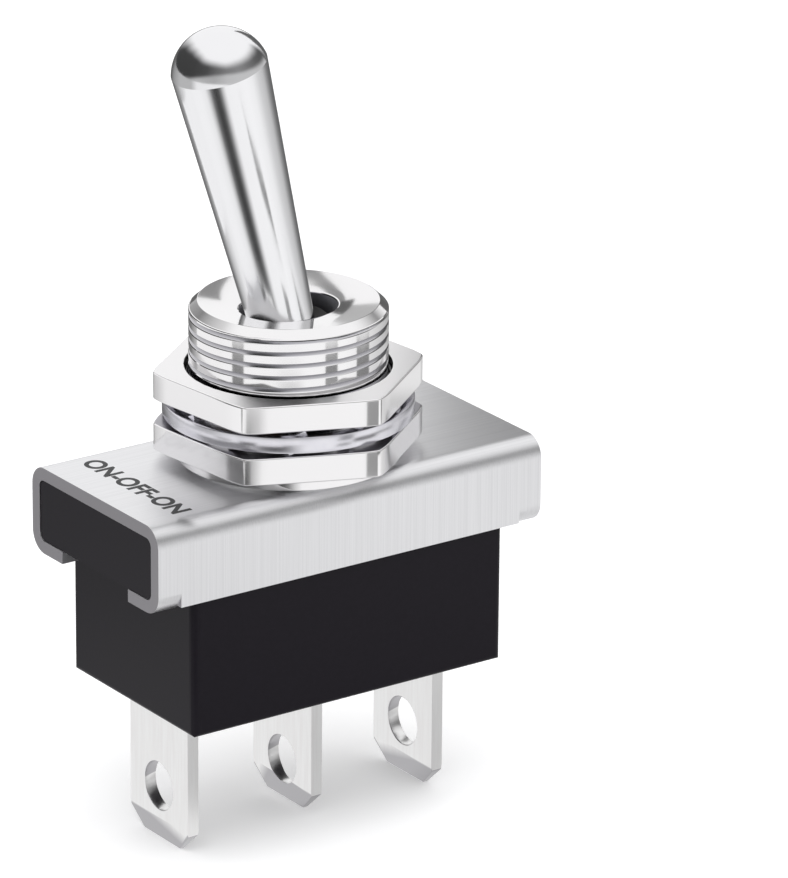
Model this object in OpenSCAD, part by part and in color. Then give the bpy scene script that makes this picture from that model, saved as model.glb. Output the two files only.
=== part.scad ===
// Panel toggle switch: one pole, three positions with the centre open, a threaded bushing and blade terminals.
// Lengths are in millimetres and angles in degrees. The origin is where the bushing's axis meets the top
// face of the bracket. +Z runs up the bushing and +X along the bracket, which is the way the lever swings.

/* [Bracket] */
// Length of the folded bracket
bracket_l = 27.7; // [27:0.1:32]
// Width over the bracket's side walls
bracket_w = 13.8; // [13.6:0.1:16]
// Height over the bracket's top and its holding tabs
bracket_h = 5.5; // [5.3:0.1:6.5]
// Height of the side walls between the tabs
wall_h = 5.15; // [4.8:0.05:5.3]
// Thickness of the bracket's sheet
sheet_t = 0.8; // [0.6:0.05:1]
// Inside radius of the bends
bend_r = 0.5; // [0.3:0.05:0.8]
// Reach of each holding tab, from the outside of its wall
tab_reach = 3.3; // [2.4:0.1:4]
// Width of each holding tab, along the bracket
tab_w = 1.6; // [1.2:0.1:2.4]

/* [Base] */
// Length of the moulded block below the bracket
block_l = 22.5; // [21.6:0.1:25]
// How far the block's bottom lies below the bracket's top
block_depth = 13.9; // [13.4:0.1:17]
// Set-back of the block's sides from the bracket's walls
block_inset = 0.25; // [0.1:0.05:0.5]
// Radius of the block's upright edges
block_edge_r = 0.5; // [0.3:0.1:1]
// Length of the contact chamber
chamber_l = 19.4; // [19.2:0.1:19.8]
// Width of the contact chamber
chamber_w = 8.8; // [8:0.1:9.6]
// How far the chamber's floor lies below the bracket's top
chamber_depth = 10.6; // [10.6:0.1:11.4]
// Thickness of the insulating plate, which lies in a pocket of the base
plate_t = 0.4; // [0.3:0.02:0.6]
// Width of the ledge round the chamber that the insulating plate rests on
plate_ledge_w = 0.9; // [0.6:0.1:1.2]

/* [Bushing] */
// Outer diameter of the thread
thread_d = 12; // [11.6:0.1:12.5]
// Pitch of the thread
thread_pitch = 0.75; // [0.7:0.05:1]
// Depth of the thread
thread_depth = 0.42; // [0.3:0.02:0.5]
// Height of the bushing's top above the bracket
bushing_h = 9.65; // [9.5:0.05:12]
// Radius of the bushing's rounded rim
rim_r = 0.5; // [0.4:0.05:0.7]
// Height of the plain lead below the rounded rim
lead_h = 0.5; // [0.4:0.05:0.8]
// Set-back of the seat flange's edge from the bracket's sides
flange_inset = 0.1; // [0:0.05:0.4]
// Thickness of the seat flange
flange_t = 0.65; // [0.5:0.05:1]
// Diameter of the shank through the bracket
shank_d = 10; // [9.8:0.1:10.6]
// Diameter of the shank's flared end, which is staked flush into the bracket's countersink
stake_d = 10.8; // [10.7:0.1:11.4]

/* [Nuts and lock washer] */
// Width of each nut across its flats
nut_af = 14.6; // [14:0.1:16]
// Thickness of each nut
nut_t = 1.7; // [1.4:0.1:2.2]
// Direction of one corner of each nut, from +X
nut_turn = -22.8; // [-30:0.1:30]
// Outer diameter of the lock washer
washer_d = 15.2; // [14.6:0.1:16]
// Thickness of the lock washer's sheet
washer_t = 1; // [0.8:0.05:1.1]
// Width of the lock washer's rim
washer_rim_w = 0.75; // [0.6:0.05:0.9]
// Width of each tooth
tooth_w = 1.5; // [1.2:0.1:1.8]
// Twist of each tooth
tooth_twist = 25; // [15:1:30]
// Number of teeth
tooth_count = 12; // [8:1:14]

/* [Lever] */
// Diameter of the lever's round tip
tip_d = 5.8; // [5:0.1:6.5]
// Distance from the pivot to the centre of the tip
lever_l = 18.6; // [17:0.1:22]
// Diameter of the lever where it leaves the ball
neck_d = 4; // [3.6:0.1:4.2]
// Diameter of the ball that the lever turns on
ball_d = 6.2; // [6:0.1:6.4]
// Height of the pivot above the bracket's top
pivot_z = 6.5; // [6.3:0.1:6.6]
// Tilt of the lever from upright in each end position
lever_tilt = 15; // [13:0.5:15.5]
// Diameter of the lever's hollow tail
tail_d = 3.6; // [3.4:0.1:3.7]
// Length of the tail below the pivot
tail_l = 9.8; // [9.4:0.1:9.9]
// Diameter of the cross pin
pin_d = 1.5; // [1.2:0.1:1.6]
// Length of the cross pin
pin_l = 8.6; // [8:0.1:8.7]

/* [Plunger and spring] */
// Diameter of the plunger
plunger_d = 2.2; // [2:0.05:2.3]
// Distance from the pivot to the centre of the plunger's round nose
nose_reach = 11.2; // [11:0.05:11.4]
// Length of the plunger above its nose centre
plunger_l = 3.6; // [3.2:0.1:3.8]
// Wire diameter of the plunger's spring
wire_d = 0.3; // [0.2:0.05:0.35]
// Turns of the plunger's spring
spring_turns = 6; // [4:1:8]

/* [Rocker] */
// How far the rocker's fulcrum lies below the bracket's top
fulcrum_depth = 8; // [7.9:0.05:8.1]
// Tilt of the rocker from level in each end position
rocker_tilt = 6; // [5:0.5:6.5]
// Thickness of the rocker's strip
rocker_t = 0.7; // [0.6:0.05:0.8]
// Width of the rocker's strip
rocker_w = 4.4; // [4:0.1:4.6]
// Distance from the fulcrum to each moving contact
contact_x = 6.4; // [6.2:0.1:6.5]
// Diameter of each moving contact
moving_d = 2.4; // [2:0.1:2.6]
// Diameter of each fixed contact
fixed_d = 2.6; // [2.2:0.1:2.8]
// Thickness of the cradle's sheet
cradle_t = 0.5; // [0.4:0.05:0.6]

/* [Terminals] */
// Spacing of the terminals
terminal_pitch = 9; // [8.95:0.05:9.05]
// Width of each blade
blade_w = 6.3; // [5.5:0.1:6.5]
// Thickness of each blade
blade_t = 0.8; // [0.7:0.05:0.85]
// How far the outer blades' tips lie below the bracket's top
tip_depth = 23.2; // [22:0.1:26]
// Diameter of the hole in each blade
hole_d = 3.1; // [2:0.1:3.4]
// Distance from the outer blades' holes to their tips
hole_rise = 3.5; // [3.2:0.1:4]
// How much lower the centre blade's hole lies than the outer ones
centre_hole_drop = 0.4; // [0:0.1:0.6]
// How much shorter the centre blade is than the outer ones
centre_tip_lift = 0.5; // [0:0.1:0.6]
// Height of the bevel that leads each tip into its connector
bevel_h = 1.5; // [1:0.1:2]
// Size of each tip's cut corners
corner_cut = 1.2; // [0.8:0.1:1.5]

/* [Hidden] */
$fn = 96;

// Clearances that the pieces share
// Gap between pieces that are assembled and don't move
fit_gap = 0.05;
// Radial gap of a joint that turns or slides
run_gap = 0.05;
// Gap between the lever and the end of its slot, where it stops
stop_gap = 0.12;
// Gap between the closed contacts
contact_gap = 0.05;
// Gap between the plunger's nose and the rocker
nose_gap = 0.1;
// Overrun of every cut past the face it goes through
cut = 1;

// Heights of the stack on the bushing
washer_h = tooth_w * sin(tooth_twist) + washer_t * cos(tooth_twist);
lower_nut_z = flange_t;
washer_z = lower_nut_z + nut_t;
upper_nut_z = washer_z + washer_h;

// Bushing: the lead carries the rounded rim, and the thread runs from the flange to the lead
thread_r = thread_d / 2;
flange_r = bracket_w / 2 - flange_inset;
rim_z = bushing_h - rim_r;
lead_z = rim_z - lead_h;
groove_count = floor((lead_z - flange_t) / thread_pitch);
crest_share = 1 / 8;
mouth_lip_w = 0.3;
mouth_dish_depth = 0.25;
groove_reach = pin_l / 2 + fit_gap;
bore_r = ball_d / 2 + run_gap;
bore_foot_r = 4.2;
stake_h = sheet_t / 2;

// Lever: a taper from the neck at the ball to the round tip
tip_r = tip_d / 2;
neck_r = neck_d / 2;
ball_r = ball_d / 2;
tail_r = tail_d / 2;
pin_r = pin_d / 2;
neck_s = sqrt(ball_r * ball_r - neck_r * neck_r);
taper = (tip_r - neck_r) / (lever_l - neck_s);
axis_r = neck_r - taper * neck_s;
slot_side_gap = 0.28;
slot_w = neck_d + 2 * slot_side_gap;
// The slot ends where the tilted lever's side crosses the bushing's top, plus the stop's gap
mouth_s = (bushing_h - pivot_z + axis_r * sin(lever_tilt)) / (cos(lever_tilt) - taper * sin(lever_tilt));
slot_half_l = mouth_s * sin(lever_tilt) + (axis_r + taper * mouth_s) * cos(lever_tilt) + stop_gap;

// Plunger and its spring in the tail's bore
plunger_r = plunger_d / 2;
tail_bore_r = plunger_r + run_gap;
tail_web_t = 0.5;
tail_bore_top = ball_r + tail_web_t;
spring_top = tail_bore_top + fit_gap;
spring_foot = nose_reach - plunger_l - fit_gap;
spring_r = tail_bore_r - wire_d / 2 - fit_gap;
spring_steps = 14;
wire_sides = 8;

// Rocker: in its own frame the plunger's nose runs along an arc that bends up, so the trough is an arc too
end_x = nose_reach * sin(lever_tilt);
end_z = pivot_z + fulcrum_depth - nose_reach * cos(lever_tilt);
mid_z = pivot_z + fulcrum_depth - nose_reach;
path_x = end_x * cos(rocker_tilt) - end_z * sin(rocker_tilt);
path_rise = end_x * sin(rocker_tilt) + end_z * cos(rocker_tilt) - mid_z;
path_r = (path_x * path_x + path_rise * path_rise) / (2 * path_rise);
trough_r = path_r + plunger_r + nose_gap;
trough_z = mid_z + path_r;
trough_half_l = path_x + plunger_r / 2;
lip_top = trough_z - sqrt(trough_r * trough_r - trough_half_l * trough_half_l);
lip_under = trough_z - sqrt(pow(trough_r + rocker_t, 2) - trough_half_l * trough_half_l);
arm_under = 0.15;
arm_top = arm_under + rocker_t;
arm_fall_l = 1.8;
arm_rim_w = 0.3;
arm_end = contact_x + moving_d / 2 + arm_rim_w;
trunnion_r = 0.5;
cheek_r = 0.9;
cheek_t = 0.5;
cheek_bite_share = 0.3;
cheek_top = trough_z - trough_r - cheek_bite_share * rocker_t;
cheek_half_l = 2;
ear_x = 1.6;
ear_top = 0.6;
cradle_half_l = 2.4;
cradle_in_w = rocker_w + 4 * fit_gap;
cradle_out_w = cradle_in_w + 2 * cradle_t;
trunnion_l = cradle_out_w + cradle_t;

// Contacts: domed moving ones on the rocker meet flat fixed ones on the terminals
dome_r = 4;
moving_r = moving_d / 2;
fixed_r = fixed_d / 2;
moving_tip = -0.4;
dome_z = moving_tip + dome_r;
rivet_r = 0.6;
rivet_head_r = 0.9;
rivet_head_t = 0.2;
shelf_top_z = -chamber_depth + blade_t;
fixed_top_z = -fulcrum_depth - contact_x * sin(rocker_tilt) + dome_z * cos(rocker_tilt) - dome_r - contact_gap;
fixed_x = contact_x * cos(rocker_tilt) + dome_z * sin(rocker_tilt);

// Terminals: an upright blade whose top is bent into a shelf inside the chamber
shelf_bend_r = 0.3;
outer_shelf_l = terminal_pitch + blade_t / 2 - fixed_x + fixed_r + 2 * fit_gap;
centre_shelf_l = cradle_half_l + blade_t / 2 + 4 * fit_gap;
cradle_rivet_x = 1.5;
tip_t = 0.35;

// Base: the head fills the bracket, and the block hangs below it
head_w = bracket_w - 2 * sheet_t - 2 * fit_gap;
head_l = bracket_l - 2 * fit_gap;
head_top_z = -sheet_t;
plate_z = head_top_z - fit_gap - plate_t;
plate_l = chamber_l + 2 * plate_ledge_w;
plate_w = chamber_w + 2 * plate_ledge_w;
block_w = bracket_w - 2 * block_inset;
shoulder_z = -bracket_h + sheet_t;
chamber_edge_r = 0.6;
plate_slot_w = tail_d + 6 * fit_gap;
plate_slot_half_l = (pivot_z - plate_z) * tan(lever_tilt) + tail_r / cos(lever_tilt) + 3 * fit_gap;
foot_edge_r = 0.4;

steel = "#c9c9cb";
nickel = "#dcdcdf";
chrome = "#e6e6ea";
zinc = "#c8c8d2";
phenolic = "#232126";
tin = "#d6d5d4";
silver = "#e2e0da";
copper = "#b4704a";
brass = "#c2a45c";
fibre = "#7a5f45";

// Shapes that several pieces share

// A rectangle centred on the origin with round corners, made of true arcs
module round_rect(w, h, r) {
  square([w - 2 * r, h], center = true);
  square([w, h - 2 * r], center = true);
  for (x = [-1, 1], y = [-1, 1])
    translate([x * (w / 2 - r), y * (h / 2 - r)])
      circle(r);
}

// Stands a flat outline up in the XZ plane and gives it a width along Y, centred
module along_y(width) {
  translate([0, width / 2, 0])
    rotate([90, 0, 0])
      linear_extrude(width)
        children();
}

// Stands a flat outline up in the YZ plane and gives it a length along X, centred
module along_x(length) {
  translate([-length / 2, 0, 0])
    rotate([90, 0, 90])
      linear_extrude(length)
        children();
}

// Tilts what it holds about the pivot, with the lever's axis as the local Z axis
module on_lever() {
  translate([0, 0, pivot_z])
    rotate([0, -lever_tilt, 0])
      children();
}

// Tilts what it holds about the fulcrum, with +X side down as the lever rests
module on_rocker() {
  translate([0, 0, -fulcrum_depth])
    rotate([0, rocker_tilt, 0])
      children();
}

// A slot along X with round ends, standing on the XY plane
module round_slot(half_l, width, h) {
  end_x = half_l - width / 2;
  for (x = [-end_x, end_x])
    translate([x, 0, 0])
      cylinder(h = h, r = width / 2);
  translate([-end_x, -width / 2, 0])
    cube([2 * end_x, width, h]);
}

// Bracket: a sheet folded down along both long sides, with a tab folded in at each end of each side

module bracket_outline(with_tabs) {
  mid_z = -bracket_h / 2;
  difference() {
    union() {
      translate([0, mid_z])
        round_rect(bracket_w, bracket_h, bend_r + sheet_t);
      if (!with_tabs)
        translate([-bracket_w / 2, -wall_h])
          square([bracket_w, wall_h / 2]);
    }
    translate([0, mid_z])
      round_rect(bracket_w - 2 * sheet_t, bracket_h - 2 * sheet_t, bend_r);
    if (with_tabs)
      translate([-bracket_w / 2 + tab_reach, -bracket_h - cut])
        square([bracket_w - 2 * tab_reach, bracket_h / 2]);
    else {
      translate([-bracket_w / 2 + sheet_t, -bracket_h - cut])
        square([bracket_w - 2 * sheet_t, bracket_h / 2 + cut]);
      translate([-bracket_w / 2 - cut, -bracket_h - cut])
        square([bracket_w + 2 * cut, bracket_h + cut - wall_h]);
    }
  }
}

module bracket() {
  color(steel)
  difference() {
    union() {
      along_x(bracket_l - 2 * tab_w)
        bracket_outline(false);
      for (side = [-1, 1])
        translate([side * (bracket_l - tab_w) / 2, 0, 0])
          along_x(tab_w)
            bracket_outline(true);
    }
    translate([0, 0, -sheet_t - cut])
      cylinder(h = sheet_t + 2 * cut, r = shank_d / 2 + fit_gap);
    translate([0, 0, -sheet_t])
      cylinder(h = stake_h, r1 = stake_d / 2 + fit_gap, r2 = shank_d / 2 + fit_gap);
  }
}

// Bushing: turned, with a threaded barrel, a seat flange and a shank that is staked under the bracket

// Half of the bushing's section: the barrel's outline from the flared shank up to the rounded rim
module bushing_section() {
  polygon([
    [0, -sheet_t],
    [stake_d / 2, -sheet_t],
    [shank_d / 2, -sheet_t + stake_h],
    [shank_d / 2, flange_t],
    [0, flange_t]
  ]);
  square([flange_r, flange_t]);
  square([thread_r, rim_z]);
  translate([0, rim_z / 2])
    square([thread_r - rim_r, bushing_h - rim_z / 2]);
  translate([thread_r - rim_r, rim_z])
    circle(rim_r);
}

// One V groove of the thread, with its root at the thread's depth
module thread_groove() {
  half = thread_pitch * (1 - crest_share) / 2;
  polygon([
    [thread_r + cut, -half],
    [thread_r, -half],
    [thread_r - thread_depth, -thread_pitch * crest_share / 2],
    [thread_r - thread_depth, thread_pitch * crest_share / 2],
    [thread_r, half],
    [thread_r + cut, half]
  ]);
}

module bushing() {
  color(nickel)
  difference() {
    rotate_extrude()
      difference() {
        intersection() {
          bushing_section();
          translate([0, -sheet_t])
            square([2 * flange_r, bushing_h + sheet_t]);
        }
        for (i = [0 : groove_count - 1])
          translate([0, lead_z - (i + (1 - crest_share) / 2) * thread_pitch])
            thread_groove();
      }
    // Ball socket, and below it a bore that widens to let the tail swing
    translate([0, 0, pivot_z])
      sphere(r = bore_r);
    translate([0, 0, -sheet_t])
      cylinder(h = pivot_z + sheet_t, r1 = bore_foot_r, r2 = bore_r);
    translate([0, 0, -sheet_t - cut])
      cylinder(h = cut, r = bore_foot_r);
    translate([0, 0, pivot_z])
      round_slot(slot_half_l, slot_w, bushing_h - pivot_z + cut);
    // Shallow dish round the slot
    translate([0, 0, bushing_h - mouth_dish_depth])
      cylinder(h = mouth_dish_depth, r1 = slot_w / 2, r2 = thread_r - rim_r - mouth_lip_w);
    translate([0, 0, bushing_h])
      cylinder(h = cut, r = thread_r - rim_r - mouth_lip_w);
    // Blind grooves that take the cross pin's ends from below
    translate([-pin_r - run_gap, -groove_reach, -sheet_t - cut])
      cube([2 * (pin_r + run_gap), 2 * groove_reach, pivot_z + sheet_t + cut]);
    translate([0, groove_reach, pivot_z])
      rotate([90, 0, 0])
        cylinder(h = 2 * groove_reach, r = pin_r + run_gap);
  }
}

// Nuts and lock washer

module nut(z) {
  color(nickel)
  translate([0, 0, z])
    difference() {
      rotate([0, 0, nut_turn])
        cylinder(h = nut_t, r = nut_af / 2 / cos(30), $fn = 6);
      translate([0, 0, -cut])
        cylinder(h = nut_t + 2 * cut, r = thread_r + fit_gap);
    }
}

module lower_nut() {
  nut(lower_nut_z);
}

module upper_nut() {
  nut(upper_nut_z);
}

module lock_washer() {
  rim_in_r = washer_d / 2 - washer_rim_w;
  tooth_in_r = thread_r + 3 * fit_gap;
  tooth_l = rim_in_r - tooth_in_r + washer_rim_w / 2;
  color(zinc)
  translate([0, 0, washer_z + washer_h / 2]) {
    difference() {
      cylinder(h = washer_t, r = washer_d / 2, center = true);
      cylinder(h = washer_t + 2 * cut, r = rim_in_r, center = true);
    }
    for (i = [0 : tooth_count - 1])
      rotate([0, 0, i * 360 / tooth_count])
        translate([tooth_in_r + tooth_l / 2, 0, 0])
          rotate([tooth_twist, 0, 0])
            cube([tooth_l, tooth_w, washer_t], center = true);
  }
}

// Lever: one turned piece of round tip, tapered bat, ball and hollow tail

module lever() {
  color(chrome)
  on_lever()
    difference() {
      union() {
        translate([0, 0, lever_l])
          sphere(r = tip_r);
        translate([0, 0, neck_s])
          cylinder(h = lever_l - neck_s, r1 = neck_r, r2 = tip_r);
        sphere(r = ball_r);
        translate([0, 0, -tail_l])
          cylinder(h = tail_l, r = tail_r);
      }
      translate([0, 0, -tail_l - cut])
        cylinder(h = tail_l - tail_bore_top + cut, r = tail_bore_r);
      translate([0, ball_r + cut, 0])
        rotate([90, 0, 0])
          cylinder(h = 2 * (ball_r + cut), r = pin_r);
    }
}

module pivot_pin() {
  color(steel)
  translate([0, pin_l / 2, pivot_z])
    rotate([90, 0, 0])
      cylinder(h = pin_l, r = pin_r);
}

// Plunger: a round-nosed pin that the spring pushes out of the lever's tail

module plunger() {
  color(brass)
  on_lever()
    translate([0, 0, -nose_reach]) {
      sphere(r = plunger_r);
      cylinder(h = plunger_l, r = plunger_r);
    }
}

// A round wire swept along a helix, closed at both ends
module plunger_spring() {
  height = spring_foot - spring_top - wire_d;
  count = spring_turns * spring_steps;
  lead = height / spring_turns;
  slope = atan(lead / (2 * PI * spring_r));
  points = [for (i = [0 : count], j = [0 : wire_sides - 1])
    let (
      turn = i * 360 / spring_steps,
      side = j * 360 / wire_sides,
      out = wire_d / 2 * cos(side),
      up = wire_d / 2 * sin(side)
    )
    [
      (spring_r + out) * cos(turn) + up * sin(slope) * sin(turn),
      (spring_r + out) * sin(turn) - up * sin(slope) * cos(turn),
      i * height / count + up * cos(slope)
    ]];
  walls = [for (i = [0 : count - 1], j = [0 : wire_sides - 1])
    let (
      a = i * wire_sides + j,
      b = i * wire_sides + (j + 1) % wire_sides
    )
    [a, a + wire_sides, b + wire_sides, b]];
  start = [for (j = [0 : wire_sides - 1]) j];
  finish = [for (j = [0 : wire_sides - 1]) count * wire_sides + wire_sides - 1 - j];
  color(steel)
  on_lever()
    translate([0, 0, -spring_foot + wire_d / 2])
      polyhedron(points = points, faces = concat([start], walls, [finish]));
}

// Insulating plate between the bracket and the contact chamber, let into the base

module insulating_plate() {
  color(fibre)
  translate([0, 0, plate_z])
    difference() {
      linear_extrude(plate_t)
        square([plate_l, plate_w], center = true);
      translate([0, 0, -cut])
        round_slot(plate_slot_half_l, plate_slot_w, plate_t + 2 * cut);
    }
}

// Base: one moulding with a head that fills the bracket, a block below it and a chamber for the contacts

module head_outline() {
  h = head_top_z - shoulder_z;
  translate([0, head_top_z - h / 2])
    round_rect(head_w, h, bend_r + fit_gap);
}

// The block's side seen along X or Y, with round lower corners; it runs up past the block's top
module foot_outline(w) {
  translate([0, -block_depth / 2])
    round_rect(w, block_depth, foot_edge_r);
}

// The slot that a blade stands in, with room at its mouth for the bend into the shelf
module blade_slot(x, turn) {
  translate([x, 0, 0])
    rotate([0, 0, turn])
      translate([-blade_t / 2 - fit_gap, -blade_w / 2 - fit_gap, 0]) {
        translate([0, 0, -block_depth - cut])
          cube([blade_t + 2 * fit_gap, blade_w + 2 * fit_gap, block_depth - chamber_depth + 2 * cut]);
        translate([0, 0, -chamber_depth - shelf_bend_r])
          cube([blade_t + shelf_bend_r + 2 * fit_gap, blade_w + 2 * fit_gap, shelf_bend_r + cut]);
      }
}

module base() {
  color(phenolic)
  difference() {
    union() {
      along_x(head_l)
        head_outline();
      // Neck between the walls of the bracket
      translate([-block_l / 2, -head_w / 2, -bracket_h - cut])
        cube([block_l, head_w, bracket_h + cut + shoulder_z + bend_r + fit_gap]);
      intersection() {
        translate([0, 0, -block_depth])
          linear_extrude(block_depth - wall_h)
            round_rect(block_l, block_w, block_edge_r);
        along_x(block_l)
          foot_outline(block_w);
        along_y(block_w)
          foot_outline(block_l);
      }
    }
    translate([0, 0, -chamber_depth])
      linear_extrude(chamber_depth)
        round_rect(chamber_l, chamber_w, chamber_edge_r);
    translate([0, 0, plate_z])
      linear_extrude(plate_t + fit_gap + cut)
        square([plate_l + 2 * fit_gap, plate_w + 2 * fit_gap], center = true);
    blade_slot(-terminal_pitch, 0);
    blade_slot(0, 0);
    blade_slot(terminal_pitch, 180);
  }
}

// Terminals

// The face of a blade seen along X: straight sides and cut corners at the tip
module blade_face(tip_z, top_z) {
  polygon([
    [-blade_w / 2, top_z],
    [-blade_w / 2, tip_z + corner_cut],
    [-blade_w / 2 + corner_cut, tip_z],
    [blade_w / 2 - corner_cut, tip_z],
    [blade_w / 2, tip_z + corner_cut],
    [blade_w / 2, top_z]
  ]);
}

// The edge of a blade seen along Y: a strip that is bent over into a shelf at the top and bevelled at the tip
module blade_edge(tip_z, shelf_l) {
  bend_out_r = shelf_bend_r + blade_t;
  bend_x = -blade_t / 2 + bend_out_r;
  bend_z = shelf_top_z - bend_out_r;
  polygon([
    [-blade_t / 2, bend_z],
    [-blade_t / 2, tip_z + bevel_h],
    [-tip_t / 2, tip_z],
    [tip_t / 2, tip_z],
    [blade_t / 2, tip_z + bevel_h],
    [blade_t / 2, bend_z]
  ]);
  translate([bend_x, shelf_top_z - blade_t])
    square([shelf_l - bend_out_r, blade_t]);
  intersection() {
    translate([bend_x, bend_z])
      difference() {
        circle(bend_out_r);
        circle(shelf_bend_r);
      }
    translate([-blade_t / 2, bend_z])
      square([bend_out_r, bend_out_r]);
  }
}

module terminal(x, turn, shelf_l, tip_z, hole_z, rivet_x) {
  color(tin)
  translate([x, 0, 0])
    rotate([0, 0, turn])
      difference() {
        intersection() {
          along_y(blade_w + 2 * cut)
            blade_edge(tip_z, shelf_l);
          along_x(2 * (shelf_l + cut))
            blade_face(tip_z, 0);
        }
        translate([-blade_t / 2 - cut, 0, hole_z])
          rotate([0, 90, 0])
            cylinder(h = blade_t + 2 * cut, r = hole_d / 2);
        translate([rivet_x, 0, shelf_top_z - blade_t - cut])
          cylinder(h = blade_t + 2 * cut, r = rivet_r);
      }
}

module outer_terminal(x, turn) {
  terminal(x, turn, outer_shelf_l, -tip_depth, -tip_depth + hole_rise, terminal_pitch - fixed_x);
}

module terminal_left() {
  outer_terminal(-terminal_pitch, 0);
}

module terminal_right() {
  outer_terminal(terminal_pitch, 180);
}

module terminal_centre() {
  terminal(0, 0, centre_shelf_l, -tip_depth + centre_tip_lift,
    -tip_depth + hole_rise - centre_hole_drop, cradle_rivet_x);
}

// Fixed contacts, riveted through the outer terminals' shelves

module fixed_contact(side) {
  color(silver)
  translate([side * fixed_x, 0, 0]) {
    translate([0, 0, shelf_top_z])
      cylinder(h = fixed_top_z - shelf_top_z, r = fixed_r);
    translate([0, 0, shelf_top_z - blade_t])
      cylinder(h = blade_t, r = rivet_r);
  }
}

module fixed_contact_left() {
  fixed_contact(-1);
}

module fixed_contact_right() {
  fixed_contact(1);
}

// Cradle: a channel with a notched ear on each side, riveted to the centre terminal

module ear_outline() {
  difference() {
    translate([-ear_x, shelf_top_z])
      square([2 * ear_x, -fulcrum_depth + ear_top - shelf_top_z]);
    translate([0, -fulcrum_depth])
      circle(trunnion_r + run_gap);
    translate([-trunnion_r - run_gap, -fulcrum_depth])
      square([2 * (trunnion_r + run_gap), ear_top + cut]);
  }
}

module rocker_cradle() {
  color(copper)
  difference() {
    union() {
      translate([-cradle_half_l, -cradle_out_w / 2, shelf_top_z])
        cube([2 * cradle_half_l, cradle_out_w, cradle_t]);
      for (side = [-1, 1])
        translate([0, side * (cradle_in_w + cradle_t) / 2, 0])
          along_y(cradle_t)
            ear_outline();
    }
    translate([cradle_rivet_x, 0, shelf_top_z - cut])
      cylinder(h = cradle_t + 2 * cut, r = rivet_r);
  }
}

module cradle_rivet() {
  color(copper)
  translate([cradle_rivet_x, 0, 0]) {
    translate([0, 0, shelf_top_z - blade_t])
      cylinder(h = blade_t + cradle_t, r = rivet_r);
    translate([0, 0, shelf_top_z + cradle_t])
      cylinder(h = rivet_head_t, r = rivet_head_r);
  }
}

// Rocker: a strip with a trough for the plunger, an arm on each side and a trunnion on each edge

module rocker_strip() {
  intersection() {
    translate([0, trough_z])
      difference() {
        circle(trough_r + rocker_t);
        circle(trough_r);
      }
    translate([-trough_half_l, 0])
      square([2 * trough_half_l, lip_top + rocker_t]);
  }
  for (side = [-1, 1])
    scale([side, 1])
      polygon([
        [trough_half_l, lip_top],
        [trough_half_l + arm_fall_l, arm_top],
        [arm_end, arm_top],
        [arm_end, arm_under],
        [trough_half_l + arm_fall_l - rocker_t / 2, arm_under],
        [trough_half_l, lip_under]
      ]);
}

module rocker() {
  color(copper)
  on_rocker()
    difference() {
      union() {
        along_y(rocker_w)
          rocker_strip();
        for (side = [-1, 1])
          translate([0, side * (rocker_w - cheek_t) / 2, 0])
            along_y(cheek_t) {
              circle(cheek_r);
              polygon([
                [-cheek_r, 0],
                [cheek_r, 0],
                [cheek_half_l, cheek_top],
                [-cheek_half_l, cheek_top]
              ]);
            }
        for (side = [-1, 1])
          translate([0, side * (trunnion_l + rocker_w) / 4 - side * cheek_t / 2, 0])
            rotate([90, 0, 0])
              cylinder(h = (trunnion_l - rocker_w) / 2 + cheek_t, r = trunnion_r, center = true);
      }
      for (side = [-1, 1])
        translate([side * contact_x, 0, arm_under - cut])
          cylinder(h = rocker_t + 2 * cut, r = rivet_r);
    }
}

module moving_contact(side) {
  color(silver)
  on_rocker()
    translate([side * contact_x, 0, 0]) {
      intersection() {
        translate([0, 0, dome_z])
          sphere(r = dome_r);
        translate([0, 0, moving_tip])
          cylinder(h = arm_under - moving_tip, r = moving_r);
      }
      translate([0, 0, arm_under])
        cylinder(h = rocker_t, r = rivet_r);
      translate([0, 0, arm_top])
        cylinder(h = rivet_head_t, r = rivet_head_r);
    }
}

module moving_contact_left() {
  moving_contact(-1);
}

module moving_contact_right() {
  moving_contact(1);
}

bracket();
bushing();
lower_nut();
lock_washer();
upper_nut();
lever();
pivot_pin();
plunger();
plunger_spring();
insulating_plate();
base();
terminal_left();
terminal_centre();
terminal_right();
fixed_contact_left();
fixed_contact_right();
rocker_cradle();
cradle_rivet();
rocker();
moving_contact_left();
moving_contact_right();
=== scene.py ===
"""Looks of a panel toggle switch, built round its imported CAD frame.

Lengths are in millimetres until they reach a mesh, a light or a material. The frame is the CAD's: the origin
is where the bushing's axis meets the bracket's top face, +Z runs up the bushing, and +X along the bracket.
"""
import math

import bmesh
import bpy
import numpy as np
from mathutils import Matrix, Vector


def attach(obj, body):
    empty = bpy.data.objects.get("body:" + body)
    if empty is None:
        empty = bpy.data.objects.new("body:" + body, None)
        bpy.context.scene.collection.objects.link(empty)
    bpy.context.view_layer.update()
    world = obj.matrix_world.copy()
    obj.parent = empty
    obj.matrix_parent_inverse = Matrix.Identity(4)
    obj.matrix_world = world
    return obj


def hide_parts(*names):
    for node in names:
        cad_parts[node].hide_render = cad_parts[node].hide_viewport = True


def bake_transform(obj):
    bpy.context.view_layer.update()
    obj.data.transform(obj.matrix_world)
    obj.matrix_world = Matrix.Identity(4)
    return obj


MM = 0.001
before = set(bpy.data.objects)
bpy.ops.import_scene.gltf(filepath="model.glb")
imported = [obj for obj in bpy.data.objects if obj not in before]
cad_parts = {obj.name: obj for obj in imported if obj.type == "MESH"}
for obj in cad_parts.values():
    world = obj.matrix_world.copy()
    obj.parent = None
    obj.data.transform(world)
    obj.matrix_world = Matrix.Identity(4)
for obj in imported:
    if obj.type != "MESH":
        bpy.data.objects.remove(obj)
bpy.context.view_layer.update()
scene = bpy.context.scene

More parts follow.
